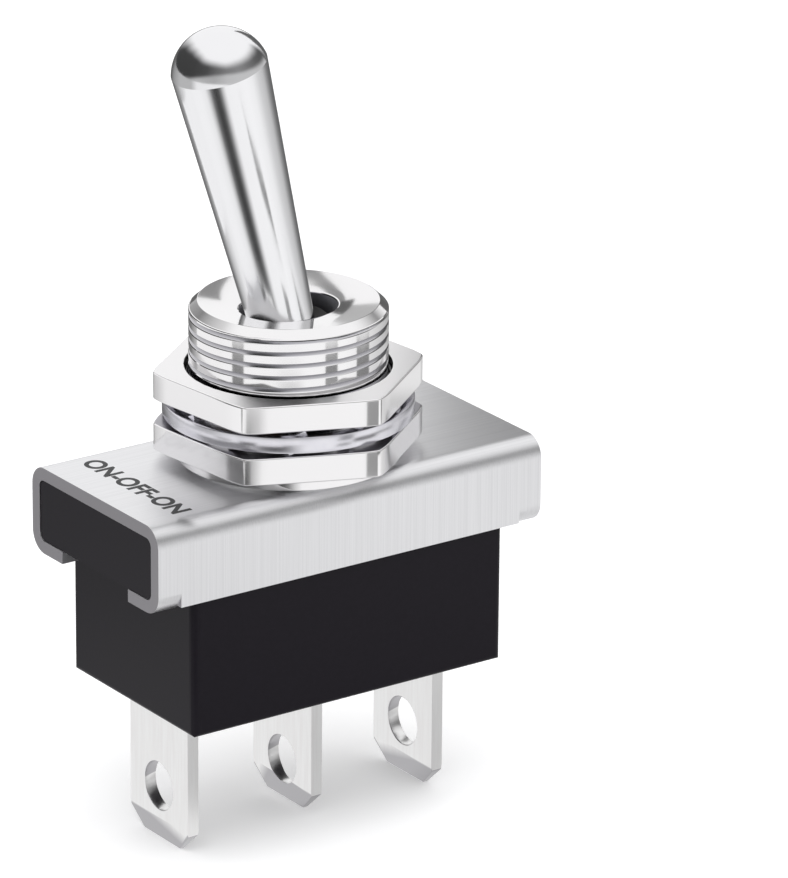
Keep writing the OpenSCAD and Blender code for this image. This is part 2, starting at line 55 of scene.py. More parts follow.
# Sizes that the pieces here share with the CAD model
PIVOT_Z = 6.5
TILT = math.radians(15)
TIP_R, NECK_R, BALL_R, TAIL_R = 2.9, 2.0, 3.1, 1.8
LEVER_L, TAIL_L, TAIL_BORE_R, TAIL_BORE_TOP = 18.6, 9.8, 1.15, 3.6
THREAD_R, THREAD_PITCH, THREAD_DEPTH = 6.0, 0.75, 0.42
BUSHING_H, RIM_R = 9.65, 0.5
FLANGE_R, FLANGE_T, SHANK_R, STAKE_R, SHEET_T = 6.8, 0.65, 5.0, 5.4, 0.8
BORE_R, BORE_FOOT_R = 3.15, 4.2
SLOT_HALF_L, SLOT_HALF_W = 3.12, 2.28
NUT_AF, NUT_T, NUT_TURN, NUT_BORE_R = 14.6, 1.7, math.radians(-22.8), 6.05
LOWER_NUT_Z, UPPER_NUT_Z = 0.65, 3.8902
SPRING_R, WIRE_R, SPRING_TURNS, SPRING_TOP, SPRING_FOOT = 0.95, 0.15, 6, 3.8, 7.4
FLOOR_Z = -23.2

# Looks that the CAD model leaves out
# Thread: where its top groove shows and in which share of a turn, then shares of the pitch and of the depth
TOP_GROOVE_Z, TOP_GROOVE_TURN, GROOVE_SHARE = 9.02, 235 / 360, 0.36
CREST_EASE, ROOT_SHARE, FADE_SHARE = 1.05, 0.92, 0.3
# Nuts: worn ends of the flats, the bore's mouth and the rounding of the edges
WORN_L, WORN_LEAN = 1.6, math.radians(12)
NUT_MOUTH_R, MOUTH_DEPTH, NUT_EDGE = 6.24, 0.55, 0.11
# Lever: the cap's lean, the shoulder on the ball and the tail's chamfer. Bushing: its dish and rim
CAP_LEAN, SHOULDER_S, TAIL_EDGE = math.radians(13), 1.5, 0.15
LIP_R, DISH_DEPTH, RIM_W = 5.45, 0.56, 0.55
# Painted shade shows below these: up the lever from its pivot, and inside a radius under the dish
PAINTED_SHADE_S, PAINTED_SHADE_Z, PAINTED_SHADE_R = 2.1, 8.63, 4.3
WASHER_Z, WASHER_T, WASHER_R, WASHER_IN_R, WASHER_EDGE = 3.1201, 1.0, 7.6, 6.85, 0.06
TOOTH_W, TOOTH_IN_R, TOOTH_TWIST, TOOTH_COUNT, TOOTH_ROOT = 1.5, 6.15, math.radians(25), 12, 0.3
# Words: a capital's share of the font's size, how much thicker the strokes get, and half the ink's thickness
CAPITAL_SHARE, STROKE_GROWTH, INK_HALF_T = 0.7, 0.06, 0.004


# Meshes

def ring_faces(rows, columns, closed=False):
    """Quads of a grid stored row by row. Each row closes on itself; closed also joins the last row to the first."""
    i = np.arange(rows if closed else rows - 1)[:, None]
    j = np.arange(columns)[None, :]
    below, above = i * columns, (i + 1) % rows * columns
    beside = (j + 1) % columns
    return np.stack([below + j, below + beside, above + beside, above + j], -1).reshape(-1, 4)


def show(obj, body, finish, stands_for):
    """Give a new object its finish, hide the CAD node it stands for, and attach it to what it rides on, if it rides.
    """
    scene.collection.objects.link(obj)
    obj.data.materials.clear()
    obj.data.materials.append(finish)
    if body:
        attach(obj, body)
    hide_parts(stands_for)
    return obj


def round_edges(obj, width, angle=28):
    """Round the edges that turn by more than angle degrees, and keep the flat faces flat in the shading."""
    rounding = obj.modifiers.new("rounded_edges", "BEVEL")
    rounding.width, rounding.segments, rounding.harden_normals = width * MM, 3, True
    rounding.limit_method, rounding.angle_limit = "ANGLE", math.radians(angle)
    shading = obj.modifiers.new("flat_faces", "WEIGHTED_NORMAL")
    shading.keep_sharp = True
    return obj


def piece(name, points, faces, body, finish, stands_for, crease=35):
    """One object at the origin. Doubles are merged, faces point outwards, and edges over crease degrees are sharp."""
    mesh = bpy.data.meshes.new(name)
    mesh.from_pydata((np.asarray(points).reshape(-1, 3) * MM).tolist(), [], faces.tolist())
    built = bmesh.new()
    built.from_mesh(mesh)
    bmesh.ops.remove_doubles(built, verts=built.verts, dist=2e-7)
    bmesh.ops.recalc_face_normals(built, faces=built.faces)
    built.to_mesh(mesh)
    built.free()
    mesh.shade_smooth()
    if crease:
        mesh.set_sharp_from_angle(angle=math.radians(crease))
    return show(bpy.data.objects.new(name, mesh), body, finish, stands_for)


def softened(name, node, width, body, finish):
    """A copy of a CAD node with its doubles merged, its flat faces joined and its edges rounded by width."""
    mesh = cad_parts[node].data.copy()
    built = bmesh.new()
    built.from_mesh(mesh)
    bmesh.ops.remove_doubles(built, verts=built.verts, dist=1e-7)
    bmesh.ops.dissolve_limit(built, angle_limit=math.radians(0.5), verts=built.verts, edges=built.edges)
    built.to_mesh(mesh)
    built.free()
    mesh.shade_smooth()
    return round_edges(show(bpy.data.objects.new(name, mesh), body, finish, node), width)


def arc(centre, radius, start, end, count):
    """Points of an arc in the (r, z) plane, from the angle start to the angle end, in degrees."""
    t = np.radians(np.linspace(start, end, count))
    return np.stack([centre[0] + radius * np.cos(t), centre[1] + radius * np.sin(t)], -1)


def turned(profile, columns):
    """A profile of (r, z) rows carried round Z: the point at angle t is (r cos t, r sin t, z)."""
    t = np.linspace(0, 2 * np.pi, columns, endpoint=False)
    r, z = profile[:, 0, None], profile[:, 1, None]
    return np.stack([r * np.cos(t), r * np.sin(t), z + 0 * t], -1)


def lever_points():
    """The lever's profile turned about its own axis, then leant by TILT towards -X at the pivot.

    Down the outside: a round cap as wide as the sphere of TIP_R, which meets the straight taper at a crease of
    CAP_LEAN, the taper, which runs on to a shoulder on the ball, the rest of the ball, and the tail; then up the
    tail's bore.
    """
    cap_r = TIP_R / math.cos(CAP_LEAN)
    cap_s = LEVER_L + TIP_R - cap_r
    crease_s = cap_s + cap_r * math.sin(CAP_LEAN)
    neck_s = math.sqrt(BALL_R ** 2 - NECK_R ** 2)
    foot_r = NECK_R - (TIP_R - NECK_R) / (crease_s - neck_s) * (neck_s - SHOULDER_S)
    tail_top = -math.sqrt(BALL_R ** 2 - TAIL_R ** 2)
    taper = np.linspace((TIP_R, crease_s), (foot_r, SHOULDER_S), 40)
    ball = arc((0, 0), BALL_R, math.degrees(math.asin(SHOULDER_S / BALL_R)),
               math.degrees(math.asin(tail_top / BALL_R)), 40)
    profile = np.concatenate([
        arc((0, cap_s), cap_r, 90, math.degrees(CAP_LEAN), 40), taper[1:], ball,
        [(TAIL_R, -TAIL_L + TAIL_EDGE), (TAIL_R - TAIL_EDGE, -TAIL_L), (TAIL_BORE_R, -TAIL_L),
         (TAIL_BORE_R, -TAIL_BORE_TOP), (0, -TAIL_BORE_TOP)]])
    profile[0, 0] = 0
    return leant(*np.moveaxis(turned(profile, 128), -1, 0))


def leant(x, y, s):
    """Points given in the lever's own axes, with s up the lever from its pivot, leant by TILT towards -X."""
    return np.stack([x * math.cos(TILT) - s * math.sin(TILT), y + 0 * s,
                     PIVOT_Z + x * math.sin(TILT) + s * math.cos(TILT)], -1)


def spring_points():
    """The plunger's spring: a round wire wound SPRING_TURNS times up the lever's axis, with its ends closed."""
    turn = np.linspace(0, 2 * np.pi * SPRING_TURNS, 28 * SPRING_TURNS + 1)[:, None]
    side = np.linspace(0, 2 * np.pi, 12, endpoint=False)[None, :]
    wire = np.full_like(turn, WIRE_R)
    turn, wire = np.vstack([turn[:1], turn, turn[-1:]]), np.vstack([[0.0], wire, [0.0]])
    climb = (SPRING_FOOT - SPRING_TOP) * turn / turn[-1, 0]
    slope = math.atan((SPRING_FOOT - SPRING_TOP) / (2 * math.pi * SPRING_TURNS * SPRING_R))
    out, up = wire * np.cos(side), wire * np.sin(side)
    return leant((SPRING_R + out) * np.cos(turn) + up * math.sin(slope) * np.sin(turn),
                 (SPRING_R + out) * np.sin(turn) - up * math.sin(slope) * np.cos(turn),
                 climb - SPRING_FOOT + up * math.cos(slope))


def slot_radius(t):
    """Distance from the axis to the slot's round-ended outline, in the direction t."""
    reach = SLOT_HALF_L - SLOT_HALF_W
    side = SLOT_HALF_W / np.maximum(np.abs(np.sin(t)), 1e-9)
    end = reach * np.abs(np.cos(t)) + np.sqrt(SLOT_HALF_W ** 2 - (reach * np.sin(t)) ** 2)
    return np.where(side * np.abs(np.cos(t)) <= reach, side, end)


def bushing_rings(t):
    """The bushing's level rings in the directions t: up the inside and over the rim, and from the flange to the foot.

    Inside, a ring's radius is the larger of the socket's and the slot's, whose edge is eased. Each eased edge is a
    list of steps across and down.
    """
    slot = slot_radius(t)
    rows = []
    for z in np.linspace(-SHEET_T, PIVOT_Z, 8):
        k = (z + SHEET_T) / (PIVOT_Z + SHEET_T)
        rows.append((BORE_FOOT_R + (BORE_R - BORE_FOOT_R) * k + 0 * t, z + 0 * t))
    edge_z = BUSHING_H - DISH_DEPTH * (LIP_R - slot) / (LIP_R - SLOT_HALF_W)
    for z in np.linspace(PIVOT_Z, BUSHING_H - DISH_DEPTH - 0.12, 14):
        socket = math.sqrt(max(BORE_R ** 2 - (z - PIVOT_Z) ** 2, 0))
        rows.append((np.maximum(slot, socket), z + 0 * t))
    rows += [(slot + across, edge_z - down) for across, down in ((0, 0.10), (0.03, 0.03), (0.10, -0.01))]
    for k in np.linspace(0.15, 1, 6):
        r = slot + (LIP_R - slot) * k
        rows.append((r, BUSHING_H - DISH_DEPTH * (LIP_R - r) / (LIP_R - SLOT_HALF_W)))
    rim = np.array([(RIM_W, 0), (RIM_W - 0.03, 0.005), (0.08, RIM_R - 0.07), (0.03, RIM_R - 0.04), (0, RIM_R)])
    rows += [(THREAD_R - w + 0 * t, BUSHING_H - h + 0 * t) for w, h in rim]
    flange = [(r + 0 * t, z + 0 * t) for r, z in (
        (THREAD_R, FLANGE_T), (FLANGE_R - 0.12, FLANGE_T), (FLANGE_R, FLANGE_T - 0.12), (FLANGE_R, 0), (SHANK_R, 0),
        (SHANK_R, -SHEET_T / 2), (STAKE_R, -SHEET_T), (BORE_FOOT_R, -SHEET_T))]
    return [np.stack([np.array([r * np.cos(t), r * np.sin(t), z]) for r, z in part]).transpose(0, 2, 1)
            for part in (rows, flange)]


def thread(t):
    """The thread's surface in the directions t, and its faces.

    Its rows climb by one pitch a turn, right-handed, so each row runs along the thread and keeps one depth: a V
    with a rounded root over GROOVE_SHARE of the pitch. Past its last direction a row goes on as the row one pitch
    higher. Both ends are clipped level, where the depth fades out.
    """
    rows_a_pitch, top, foot = 16, BUSHING_H - RIM_R, FLANGE_T
    row = np.arange(math.ceil((top - foot + THREAD_PITCH) / THREAD_PITCH * rows_a_pitch) + 1)
    climb = THREAD_PITCH * t / (2 * np.pi)
    z = top - row[:, None] * THREAD_PITCH / rows_a_pitch + climb[None, :]
    phase = (top - row * THREAD_PITCH / rows_a_pitch - TOP_GROOVE_Z) / THREAD_PITCH + TOP_GROOVE_TURN
    away = np.abs((phase + 0.5) % 1 - 0.5) * 2 / GROOVE_SHARE
    depth = THREAD_DEPTH * np.clip(CREST_EASE - away, 0, ROOT_SHARE)
    fade_l = FADE_SHARE * THREAD_PITCH
    fade = np.clip((top - z) / fade_l, 0, 1) * np.clip((z - foot) / fade_l, 0, 1)
    r = THREAD_R - depth[:, None] * fade
    points = np.stack([r * np.cos(t), r * np.sin(t), np.clip(z, foot, top)], -1)
    i, j = row[:-1, None], np.arange(len(t))[None, :]
    at_seam, beside = j == len(t) - 1, (j + 1) % len(t)
    higher = [np.where(at_seam, np.maximum(k - rows_a_pitch, 0), k) * len(t) + beside for k in (i, i + 1)]
    return points, np.stack([i * len(t) + j, higher[0], higher[1], (i + 1) * len(t) + j], -1).reshape(-1, 4)


def bushing():
    """The bushing's points and faces: its rings, and the thread between them."""
    t = np.linspace(0, 2 * np.pi, 180, endpoint=False)
    points, faces, count = [], [], 0
    for part, quads in [(part, ring_faces(len(part), len(t))) for part in bushing_rings(t)] + [thread(t)]:
        points.append(part.reshape(-1, 3))
        faces.append(quads + count)
        count += part.shape[0] * part.shape[1]
    return np.concatenate(points), np.concatenate(faces)


def nut_points(z):
    """A hexagon nut as rings: up the bore, out of its mouth, down the flats, and into the lower mouth.

    Tumbling has worn the flats off towards their ends: within WORN_L of a corner each falls away as the square of
    the way into that stretch, so that it leans by WORN_LEAN at the corner.
    """
    half = NUT_AF / 2 * math.tan(math.pi / 6)
    ends = half - WORN_L + WORN_L * np.linspace(0, 1, 7)
    along = np.concatenate([-ends[::-1], np.linspace(-ends[0], ends[0], 6)[1:-1], ends])
    worn = np.clip(np.abs(along) - (half - WORN_L), 0, None) ** 2 * math.tan(WORN_LEAN) / (2 * WORN_L)
    reach = 1 - worn[-1] / (NUT_AF / 2)
    flat = np.stack([NUT_AF / 2 - worn, along * np.where(np.abs(along) > half - 1e-6, reach, 1)], -1)[:-1]
    turns = NUT_TURN + math.pi / 6 + np.arange(6) * math.pi / 3
    x = (flat[None, :, 0] * np.cos(turns)[:, None] - flat[None, :, 1] * np.sin(turns)[:, None]).reshape(-1)
    y = (flat[None, :, 0] * np.sin(turns)[:, None] + flat[None, :, 1] * np.cos(turns)[:, None]).reshape(-1)
    t, r = np.arctan2(y, x), np.hypot(x, y)
    step = MOUTH_DEPTH + 0.05
    rows = [(NUT_BORE_R, step), (NUT_BORE_R, NUT_T - step), (NUT_MOUTH_R, NUT_T - MOUTH_DEPTH), (NUT_MOUTH_R, NUT_T),
            (r, NUT_T), (r, 0), (NUT_MOUTH_R, 0), (NUT_MOUTH_R, MOUTH_DEPTH)]
    return np.stack([np.stack([k * np.cos(t), k * np.sin(t), z + h + 0 * t], -1) for k, h in rows])


def washer():
    """The lock washer's points and faces: a ring with rounded edges, and teeth twisted about their own radius."""
    t = np.linspace(0, 2 * np.pi, 144, endpoint=False)
    half, edge, mid = WASHER_T / 2, WASHER_EDGE, WASHER_EDGE * 0.3
    section = [(WASHER_IN_R, half), (WASHER_R - edge, half), (WASHER_R - mid, half - mid), (WASHER_R, half - edge),
               (WASHER_R, edge - half), (WASHER_R - mid, mid - half), (WASHER_R - edge, -half), (WASHER_IN_R, -half)]
    ring = turned(np.array(section), len(t)) + np.array([0, 0, WASHER_Z])
    corners = np.array([(x, y, z) for x in (0, 1) for y in (-0.5, 0.5) for z in (-0.5, 0.5)])
    x = TOOTH_IN_R + (WASHER_IN_R + TOOTH_ROOT - TOOTH_IN_R) * corners[:, 0]
    y = corners[:, 1] * TOOTH_W * math.cos(TOOTH_TWIST) - corners[:, 2] * WASHER_T * math.sin(TOOTH_TWIST)
    z = corners[:, 1] * TOOTH_W * math.sin(TOOTH_TWIST) + corners[:, 2] * WASHER_T * math.cos(TOOTH_TWIST)
    a = 2 * np.pi * np.arange(TOOTH_COUNT)[:, None] / TOOTH_COUNT
    teeth = np.stack([x * np.cos(a) - y * np.sin(a), x * np.sin(a) + y * np.cos(a), WASHER_Z + z + 0 * a], -1)
    box = np.array([(0, 1, 3, 2), (4, 6, 7, 5), (0, 4, 5, 1), (2, 3, 7, 6), (0, 2, 6, 4), (1, 5, 7, 3)])
    faces = np.concatenate([ring_faces(len(section), len(t), closed=True),
                            (ring.size // 3 + 8 * np.arange(TOOTH_COUNT)[:, None, None] + box).reshape(-1, 4)])
    return np.concatenate([ring.reshape(-1, 3), teeth.reshape(-1, 3)]), faces


# Materials

def linear(hex_colour):
    """A linear RGBA colour from an sRGB hex string."""
    parts = [int(hex_colour[i:i + 2], 16) / 255 for i in (1, 3, 5)]
    return [c / 12.92 if c <= 0.04045 else ((c + 0.055) / 1.055) ** 2.4 for c in parts] + [1.0]


def add(tree, kind, inputs=None, stops=(), **settings):
    """Add one node: inputs gives each socket a value or another node's output, and stops fills its colour ramp."""
    made = tree.nodes.new(kind)
    for key, value in settings.items():
        setattr(made, key, value)
    for key, value in (inputs or {}).items():
        if isinstance(value, bpy.types.NodeSocket):
            tree.links.new(value, made.inputs[key])
        else:
            made.inputs[key].default_value = value
    for k, (place, colour) in enumerate(stops):
        ramp = made.color_ramp.elements
        stop = ramp[0] if k == 0 else ramp[-1] if k == 1 else ramp.new(place)
        stop.position, stop.color = place, colour
    return made


def finish(name, base, **shader):
    """A material with a Principled shader whose constants are set on its own sockets.

    Returns the material, its node tree, the shader and the object's coordinates.
    """
    made = bpy.data.materials.new(name)
    made.use_nodes = True
    tree = made.node_tree
    tree.nodes.clear()
    surface = add(tree, "ShaderNodeBsdfPrincipled", {"Base Color": linear(base), **shader})
    add(tree, "ShaderNodeOutputMaterial", {"Surface": surface.outputs[0]})
    where = add(tree, "ShaderNodeTexCoord").outputs["Object"]
    return made, tree, surface, where


def polished(name, base, roughness, marks_mm, depth):
    """Polished plate: roughness and height wander a little over marks_mm, as buffing leaves them."""
    made, tree, surface, where = finish(name, base, Metallic=1.0)
    buffing = add(tree, "ShaderNodeTexNoise", {"Vector": where, "Scale": 1 / (marks_mm * MM), "Detail": 3.0})
    spread = add(tree, "ShaderNodeMapRange", {"Value": buffing.outputs[0], "From Min": 0.3, "From Max": 0.7,
                                              "To Min": roughness * 0.8, "To Max": roughness * 1.2})
    relief = add(tree, "ShaderNodeBump", {"Height": buffing.outputs[0], "Distance": depth * MM, "Strength": 1.0})
    tree.links.new(spread.outputs[0], surface.inputs["Roughness"])
    tree.links.new(relief.outputs[0], surface.inputs["Normal"])
    return made


def painted_shade_below(tree, height, edge, light, dark="#0e0e10"):
    """A base colour that is light where height is over edge metres, and painted dark under it as shade in a hollow.
    """
    unshaded = add(tree, "ShaderNodeMapRange", {"Value": height, "From Min": edge - 0.02 * MM,
                                             "From Max": edge + 0.02 * MM})
    return add(tree, "ShaderNodeValToRGB", {"Fac": unshaded.outputs[0]},
               stops=((0.0, linear(dark)), (1.0, linear(light)))).outputs[0]


# Bright chrome plate, buffed: mirrors the studio, with edges that stay crisp. The ball has painted shade in its
# socket
bright_chrome = polished("bright_chrome_plate", "#f3f3f5", 0.12, 1.5, 0.0003)
tree = bright_chrome.node_tree
from_pivot = add(tree, "ShaderNodeVectorMath", {0: add(tree, "ShaderNodeTexCoord").outputs["Object"],
                                                1: (0, 0, PIVOT_Z * MM)}, operation="SUBTRACT")
up_the_lever = add(tree, "ShaderNodeVectorMath", {0: from_pivot.outputs[0],
                                                  1: (-math.sin(TILT), 0, math.cos(TILT))}, operation="DOT_PRODUCT")
tree.links.new(painted_shade_below(tree, up_the_lever.outputs["Value"], PAINTED_SHADE_S * MM, "#f3f3f5"),
               tree.nodes["Principled BSDF"].inputs["Base Color"])
# Bright nickel plate over turned brass: a little softer than the chrome
bright_nickel = polished("bright_nickel_plate", "#f5f4f5", 0.11, 0.8, 0.0002)


def nut_nickel(name, top):
    """A nut's bright nickel. Its faced top is softer and takes the tone top; the bore's mouth has painted shade."""
    made, tree, surface, where = finish(name, "#f5f4f5", Metallic=1.0)
    facing = add(tree, "ShaderNodeSeparateXYZ", {"Vector": add(tree, "ShaderNodeTexCoord").outputs["Normal"]})
    upward = add(tree, "ShaderNodeMapRange", {"Value": facing.outputs[2], "From Min": 0.9, "From Max": 0.97})
    spread = add(tree, "ShaderNodeMapRange", {"Value": upward.outputs[0], "To Min": 0.11, "To Max": 0.3})
    tree.links.new(spread.outputs[0], surface.inputs["Roughness"])
    flat = add(tree, "ShaderNodeVectorMath", {0: where, 1: (1, 1, 0)}, operation="MULTIPLY")
    away = add(tree, "ShaderNodeVectorMath", {0: flat.outputs[0]}, operation="LENGTH")
    # Painted shade: the bore's mouth is dark, as shade in the hollow
    mouth_shade = painted_shade_below(tree, away.outputs["Value"], (NUT_MOUTH_R + 0.02) * MM, "#f5f4f5")
    tone = add(tree, "ShaderNodeMix", {"Factor": upward.outputs[0]}, data_type="RGBA", blend_type="MULTIPLY")
    tone.inputs[7].default_value = linear(top)
    tree.links.new(mouth_shade, tone.inputs[6])
    buffing = add(tree, "ShaderNodeTexNoise", {"Vector": where, "Scale": 1 / (0.8 * MM), "Detail": 3.0})
    relief = add(tree, "ShaderNodeBump", {"Height": buffing.outputs[0], "Distance": 0.0002 * MM, "Strength": 1.0})
    tree.links.new(tone.outputs[2], surface.inputs["Base Color"])
    tree.links.new(relief.outputs[0], surface.inputs["Normal"])
    return made


shaded_mouth_nut = nut_nickel("nut_nickel_plate", "#ffffff")
# The lower nut's top is painted darker, as shade in the gap under the washer and the upper nut
nut_with_shaded_top = nut_nickel("nickel_plate_with_painted_shade", "#b0afb4")


def bushing_nickel():
    """Nickel plate over turned brass.

    The dish and the crests mirror crisply, the thread's roots are painted grey as shade in the grooves, and the slot
    is painted dark grey as shade in the hollow.
    """
    made, tree, surface, where = finish("turned_nickel_plate", "#f5f4f5", Metallic=1.0)
    flat = add(tree, "ShaderNodeVectorMath", {0: where, 1: (1, 1, 0)}, operation="MULTIPLY")
    away = add(tree, "ShaderNodeVectorMath", {0: flat.outputs[0]}, operation="LENGTH").outputs["Value"]
    height = add(tree, "ShaderNodeSeparateXYZ", {"Vector": where}).outputs[2]
    # Painted shade: the thread's roots are greyer than its crests
    crest = add(tree, "ShaderNodeMapRange", {"Value": away, "From Min": (THREAD_R - 0.4) * MM,
                                             "From Max": (THREAD_R - 0.02) * MM})
    over_thread = add(tree, "ShaderNodeMath", {0: height, 1: (BUSHING_H - RIM_R - 0.01) * MM},
                      operation="GREATER_THAN")
    bright = add(tree, "ShaderNodeMath", {0: crest.outputs[0], 1: over_thread.outputs[0]}, operation="MAXIMUM")
    metal = add(tree, "ShaderNodeValToRGB", {"Fac": bright.outputs[0]},
                stops=((0.0, linear("#8b8a90")), (1.0, linear("#f5f4f5")), (0.9, linear("#c4c3c8"))))
    spread = add(tree, "ShaderNodeMapRange", {"Value": bright.outputs[0], "To Min": 0.5, "To Max": 0.09})
    tree.links.new(spread.outputs[0], surface.inputs["Roughness"])
    # Painted shade: inside a radius and below the dish, the slot and socket are dark grey
    over_dish = add(tree, "ShaderNodeMath", {0: away, 1: -DISH_DEPTH / (LIP_R - SLOT_HALF_W), 2: height},
                    operation="MULTIPLY_ADD")
    outside = add(tree, "ShaderNodeMath", {0: away, 1: PAINTED_SHADE_R * MM}, operation="GREATER_THAN")
    shown = add(tree, "ShaderNodeMath", {0: over_dish.outputs[0], 1: PAINTED_SHADE_Z * MM}, operation="GREATER_THAN")
    unshaded = add(tree, "ShaderNodeMath", {0: outside.outputs[0], 1: shown.outputs[0]}, operation="MAXIMUM")
    tone = add(tree, "ShaderNodeMix", {"Factor": unshaded.outputs[0]}, data_type="RGBA")
    tone.inputs[6].default_value = linear("#8c8c92")
    tree.links.new(metal.outputs[0], tone.inputs[7])
    tree.links.new(tone.outputs[2], surface.inputs["Base Color"])
    return made


ringed_nickel = bushing_nickel()


def brushed_sheet():
    """Nickel-plated steel sheet, brushed: fine lines and a soft wide highlight. Its cut ends are duller."""
    made, tree, surface, where = finish("brushed_nickel_sheet", "#d6d6d8", Metallic=1.0)
    on_top = add(tree, "ShaderNodeMapping", {"Vector": where, "Rotation": (0, 0, math.radians(35.2)),
                                             "Scale": (1 / (14 * MM), 1 / (0.1 * MM), 1 / (14 * MM))})
    on_side = add(tree, "ShaderNodeMapping", {"Vector": where,
                                              "Scale": (1 / (0.08 * MM), 1 / (0.08 * MM), 1 / (14 * MM))})
    top_lines = add(tree, "ShaderNodeTexNoise", {"Vector": on_top.outputs[0], "Scale": 1.0, "Detail": 4.0})
    side_lines = add(tree, "ShaderNodeTexNoise", {"Vector": on_side.outputs[0], "Scale": 1.0, "Detail": 3.0})
    facing = add(tree, "ShaderNodeSeparateXYZ", {"Vector": add(tree, "ShaderNodeTexCoord").outputs["Normal"]})
    is_top = add(tree, "ShaderNodeMapRange", {"Value": facing.outputs[2], "From Min": 0.6, "From Max": 0.8})
    lines = add(tree, "ShaderNodeMix", {"Factor": is_top.outputs[0], "A": side_lines.outputs[0],
                                        "B": top_lines.outputs[0]})
    tone = add(tree, "ShaderNodeValToRGB", {"Fac": lines.outputs[0]},
               stops=((0.3, linear("#e6e6e8")), (0.7, linear("#f0f0f2"))))
    end = add(tree, "ShaderNodeMath", {0: facing.outputs[0]}, operation="ABSOLUTE")
    is_end = add(tree, "ShaderNodeMapRange", {"Value": end.outputs[0], "From Min": 0.85, "From Max": 0.95})
    colour = add(tree, "ShaderNodeMix", {"Factor": is_end.outputs[0], "A": tone.outputs[0],
                                         "B": linear("#a8a6aa")}, data_type="RGBA")
    spread = add(tree, "ShaderNodeMapRange", {"Value": is_end.outputs[0], "To Min": 0.38, "To Max": 0.55})
    scratch = add(tree, "ShaderNodeMapRange", {"Value": is_top.outputs[0], "To Min": 0.0003 * MM,
                                               "To Max": 0.0009 * MM})
    relief = add(tree, "ShaderNodeBump", {"Height": lines.outputs[0], "Distance": scratch.outputs[0],
                                          "Strength": 1.0})
    tree.links.new(colour.outputs[2], surface.inputs["Base Color"])
    tree.links.new(spread.outputs[0], surface.inputs["Roughness"])
    tree.links.new(relief.outputs[0], surface.inputs["Normal"])
    return made


def moulded_phenolic():
    """Black phenolic, compression moulded: almost black, semi-matt, with a fine even grain."""
    made, tree, surface, where = finish("black_phenolic", "#1c1b1f", Roughness=0.42)
    surface.inputs["Specular IOR Level"].default_value = 0.15
    grain = add(tree, "ShaderNodeTexNoise", {"Vector": where, "Scale": 1 / (0.25 * MM), "Detail": 4.0})
    tone = add(tree, "ShaderNodeValToRGB", {"Fac": grain.outputs[0]},
               stops=((0.35, linear("#120e16")), (0.65, linear("#141018"))))
    relief = add(tree, "ShaderNodeBump", {"Height": grain.outputs[0], "Distance": 0.0004 * MM, "Strength": 1.0})
    tree.links.new(tone.outputs[0], surface.inputs["Base Color"])
    tree.links.new(relief.outputs[0], surface.inputs["Normal"])
    return made


def satin(name, dark, light, metallic, roughness, grain_mm, stretch=(1, 1, 1), depth=0.002):
    """A satin finish whose tone and height wander between two close colours over a grain of grain_mm."""
    made, tree, surface, where = finish(name, light, Metallic=metallic, Roughness=roughness)
    laid = add(tree, "ShaderNodeMapping", {"Vector": where, "Scale": [s / (grain_mm * MM) for s in stretch]})
    grain = add(tree, "ShaderNodeTexNoise", {"Vector": laid.outputs[0], "Scale": 1.0, "Detail": 3.0})
    tone = add(tree, "ShaderNodeValToRGB", {"Fac": grain.outputs[0]},
               stops=((0.35, linear(dark)), (0.65, linear(light))))
    relief = add(tree, "ShaderNodeBump", {"Height": grain.outputs[0], "Distance": depth * MM, "Strength": 1.0})
    tree.links.new(tone.outputs[0], surface.inputs["Base Color"])
    tree.links.new(relief.outputs[0], surface.inputs["Normal"])
    return made


def tinned_strip():
    """Tin plate over rolled brass strip: pale and satin, with faint lines along it, and darker where faces turn down.
    """
    made, tree, surface, where = finish("tin_plated_strip", "#efeeee", Metallic=1.0, Roughness=0.28)
    laid = add(tree, "ShaderNodeMapping", {"Vector": where, "Scale": (1 / (0.25 * MM), 1 / (0.25 * MM),
                                                                      1 / (3 * MM))})
    lines = add(tree, "ShaderNodeTexNoise", {"Vector": laid.outputs[0], "Scale": 1.0, "Detail": 3.0})
    tone = add(tree, "ShaderNodeValToRGB", {"Fac": lines.outputs[0]},
               stops=((0.35, linear("#ebeaea")), (0.65, linear("#f0f0f0"))))
    facing = add(tree, "ShaderNodeSeparateXYZ", {"Vector": add(tree, "ShaderNodeTexCoord").outputs["Normal"]})
    faces_down = add(tree, "ShaderNodeMapRange", {"Value": facing.outputs[2], "From Min": -0.06, "From Max": -0.12})
    colour = add(tree, "ShaderNodeMix", {"Factor": faces_down.outputs[0], "A": tone.outputs[0],
                                         "B": linear("#b2b1b4")}, data_type="RGBA")
    relief = add(tree, "ShaderNodeBump", {"Height": lines.outputs[0], "Distance": 0.0001 * MM, "Strength": 1.0})
    tree.links.new(colour.outputs[2], surface.inputs["Base Color"])
    tree.links.new(relief.outputs[0], surface.inputs["Normal"])
    return made


sheet = brushed_sheet()
phenolic = moulded_phenolic()
tinned = tinned_strip()
# Zinc plate over spring steel: a cool lavender grey with soft reflections
zinc = satin("zinc_plated_spring_steel", "#e6e5ec", "#ecebf1", 1.0, 0.22, 0.8, (1, 1, 1), 0.0001)
# Drawn steel, for the pin and the spring: a plain mid grey with fine lines
steel = satin("drawn_steel", "#aeb0b2", "#c2c4c6", 1.0, 0.3, 0.2, (1, 1, 0.1))
# Turned brass, for the plunger: a pale yellow with fine rings
brass = satin("turned_brass", "#b99a52", "#cbb06a", 1.0, 0.25, 0.1, (0.1, 1, 1))
# Vulcanised fibre, for the plate: a dry dull brown
fibre = satin("vulcanised_fibre", "#6e543d", "#80664b", 0.0, 0.6, 0.4)
# Silver alloy, for the contacts: a warm white
silver = satin("silver_contact_alloy", "#d6d3cb", "#e6e3dc", 1.0, 0.28, 0.2)
# Phosphor bronze strip, for the rocker and its cradle: a coppery brown with lines along the strip
bronze = satin("phosphor_bronze_strip", "#a9663f", "#be7b52", 1.0, 0.28, 0.4, (0.1, 1, 1))


# Pieces

